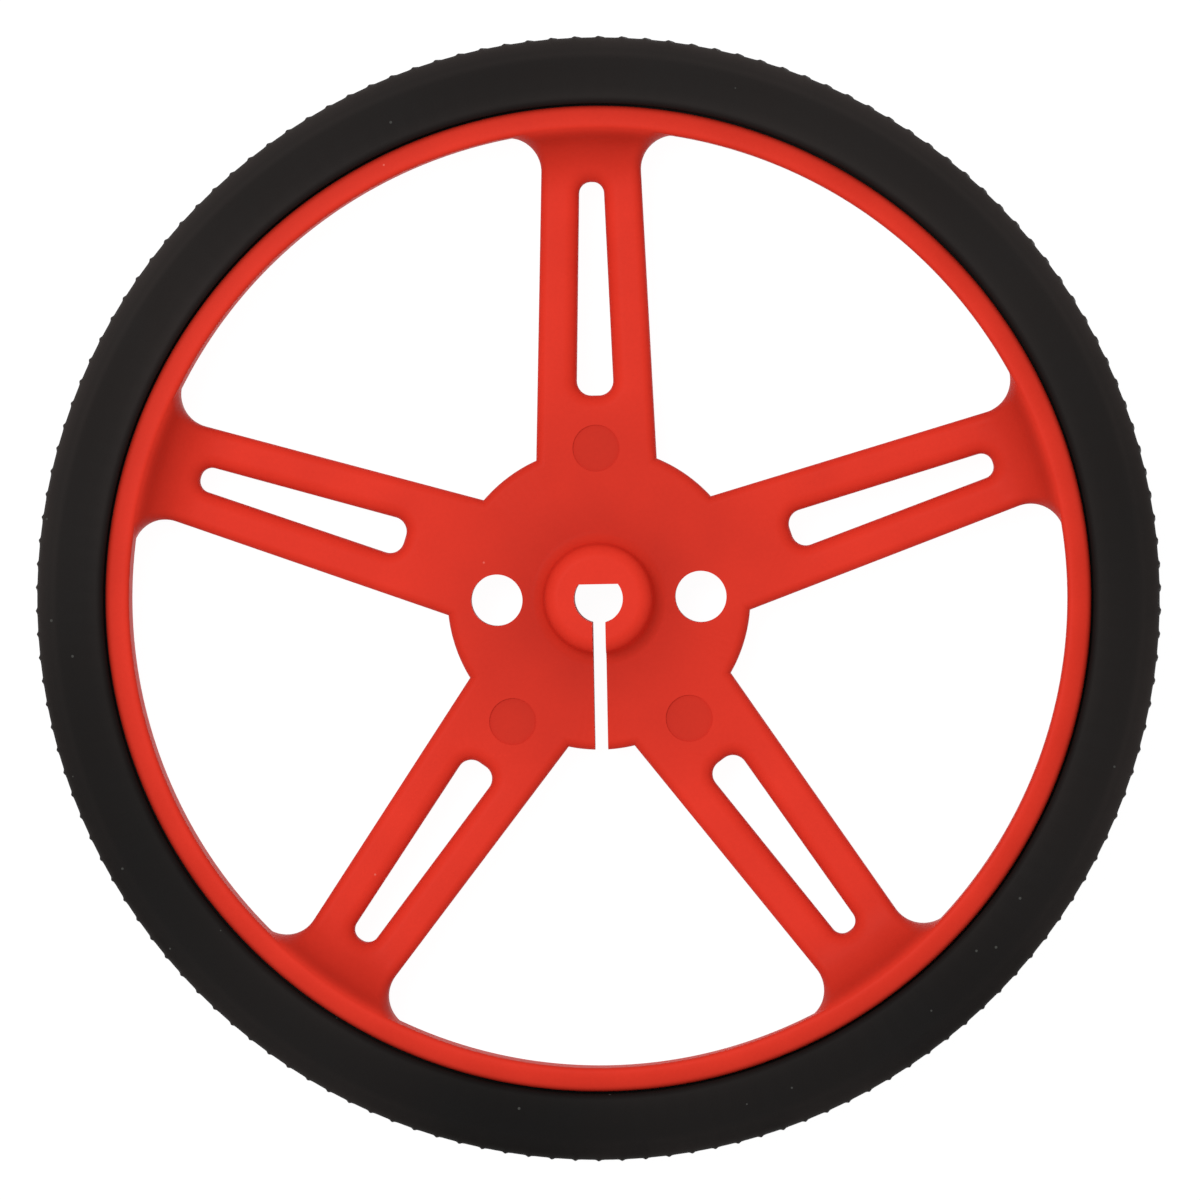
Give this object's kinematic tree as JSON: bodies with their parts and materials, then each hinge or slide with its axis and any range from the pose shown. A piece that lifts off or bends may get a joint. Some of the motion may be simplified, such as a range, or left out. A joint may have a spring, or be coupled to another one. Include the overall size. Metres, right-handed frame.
{
  "type": "robot car wheel",
  "caption": "Spoked moulded plastic wheel with a ribbed rubber tyre, a split D-shaped shaft bore and screw holes beside it, for small gearmotors.",
  "frame": {"origin": "centre of the wheel, on its spin axis, halfway through its width", "axes": "+Z along the spin axis, towards the side with the boss; +Y from the axis towards the flat of the D bore; the slit of the boss runs towards -Y and the two screw holes lie along X"},
  "size_m": [0.07, 0.07, 0.008],
  "materials": {
    "red_plastic": "satin",
    "black_rubber": "matt"
  },
  "bodies": {
    "root": {"wheel_moulding": "red_plastic", "tyre": "black_rubber"}
  },
  "joints": []
}
